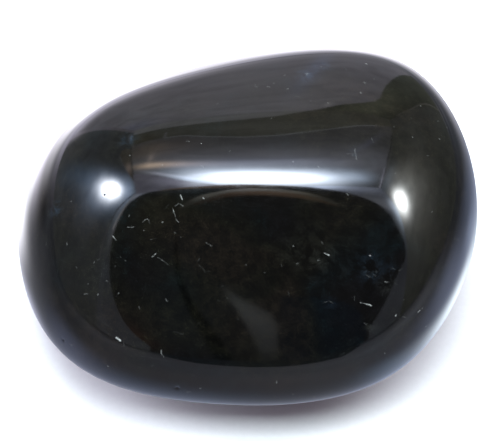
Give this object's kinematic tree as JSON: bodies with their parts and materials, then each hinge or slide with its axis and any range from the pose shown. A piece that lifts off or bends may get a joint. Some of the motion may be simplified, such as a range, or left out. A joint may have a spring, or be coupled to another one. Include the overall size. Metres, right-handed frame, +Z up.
{
  "type": "black onyx tumbled stone",
  "caption": "Polished black tumbled stone: a glossy rounded pebble with a broad slanted front, lying on its flattest side.",
  "frame": {"origin": "middle of the underside of the stone's box, which lies on its flat resting face", "axes": "+X along the stone's length, to the right as seen from its slanted front; +Y to the back; +Z up"},
  "size_m": [0.0388, 0.0322, 0.0248],
  "materials": {
    "polished_onyx": "polished"
  },
  "bodies": {
    "root": {"onyx_stone": "polished_onyx"}
  },
  "joints": []
}
